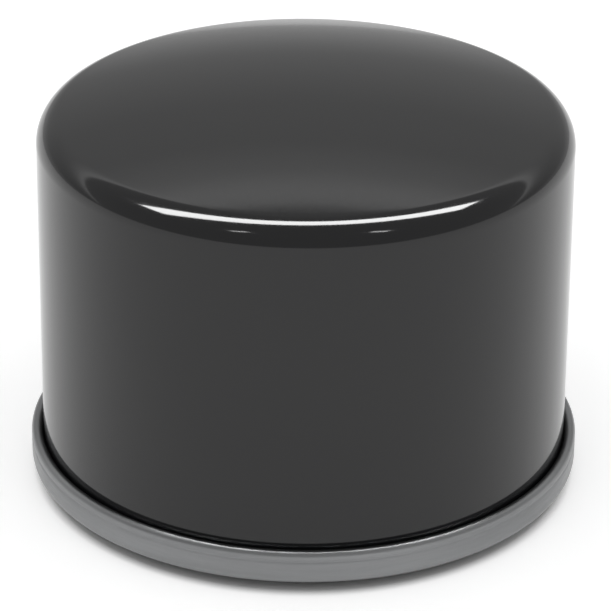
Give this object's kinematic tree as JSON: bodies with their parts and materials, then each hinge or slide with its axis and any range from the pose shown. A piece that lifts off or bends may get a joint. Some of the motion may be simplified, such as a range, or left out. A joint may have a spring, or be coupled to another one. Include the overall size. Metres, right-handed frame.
{
  "type": "oil filter",
  "caption": "Short spin-on oil filter: black drawn can with a shallow domed end, rolled seam, threaded base plate with ring gasket, pleated element and bypass valve inside.",
  "frame": {"origin": "centre of the gasket's sealing face, on the filter's axis", "axes": "+Z along the axis from the gasket to the dome; an inlet port lies on +X and the joint of the paper points to +X"},
  "size_m": [0.0762, 0.0762, 0.0572],
  "materials": {
    "gloss_black_paint": "gloss black enamel",
    "zinc_plate": "bright zinc plate",
    "seam_compound": "dried sealing compound",
    "bare_steel": "oiled hot-rolled steel",
    "weld_steel": "heat-tinted weld",
    "nitrile_rubber": "matte moulded rubber",
    "valve_rubber": "satin moulded rubber",
    "tinplate": "tin plate",
    "adhesive": "cured plastisol",
    "filter_paper": "resin-treated filter paper",
    "spring_steel": "drawn wire",
    "blued_spring_steel": "blued strip"
  },
  "bodies": {
    "housing": {"can": "gloss_black_paint", "seaming_lid": "zinc_plate", "seam_compound": "seam_compound", "base_plate": "bare_steel", "projection_welds": "weld_steel", "gasket": "nitrile_rubber", "element_spring": "blued_spring_steel"},
    "element": {"lower_end_cap": "tinplate", "lower_potting": "adhesive", "centre_tube": "tinplate", "pleated_media": "filter_paper", "media_clip": "tinplate", "upper_potting": "adhesive", "upper_end_cap": "tinplate", "bypass_cage": "zinc_plate", "bypass_spring": "spring_steel"},
    "bypass_valve": {"bypass_plate": "tinplate", "bypass_seal": "nitrile_rubber", "bypass_washer": "zinc_plate", "bypass_stem": "zinc_plate"},
    "drainback_flap": {"drainback_valve": "valve_rubber"}
  },
  "joints": [
    {"name": "element_float", "type": "slide", "parent": "housing", "child": "element", "axis": [0, 0, 1], "range_m": [0, 0.002], "stiffness_N_per_m": 10000, "springref_m": -0.004, "deforming": ["element_spring"]},
    {"name": "bypass_open", "type": "slide", "parent": "element", "child": "bypass_valve", "axis": [0, 0, -1], "range_m": [0, 0.003], "stiffness_N_per_m": 1200, "springref_m": -0.012, "deforming": ["bypass_spring"]},
    {"name": "drainback_lift", "type": "slide", "parent": "housing", "child": "drainback_flap", "axis": [0, 0, 1], "range_m": [0, 0.0012], "stiffness_N_per_m": 300, "springref_m": -0.001, "deforming": ["drainback_valve"]}
  ]
}
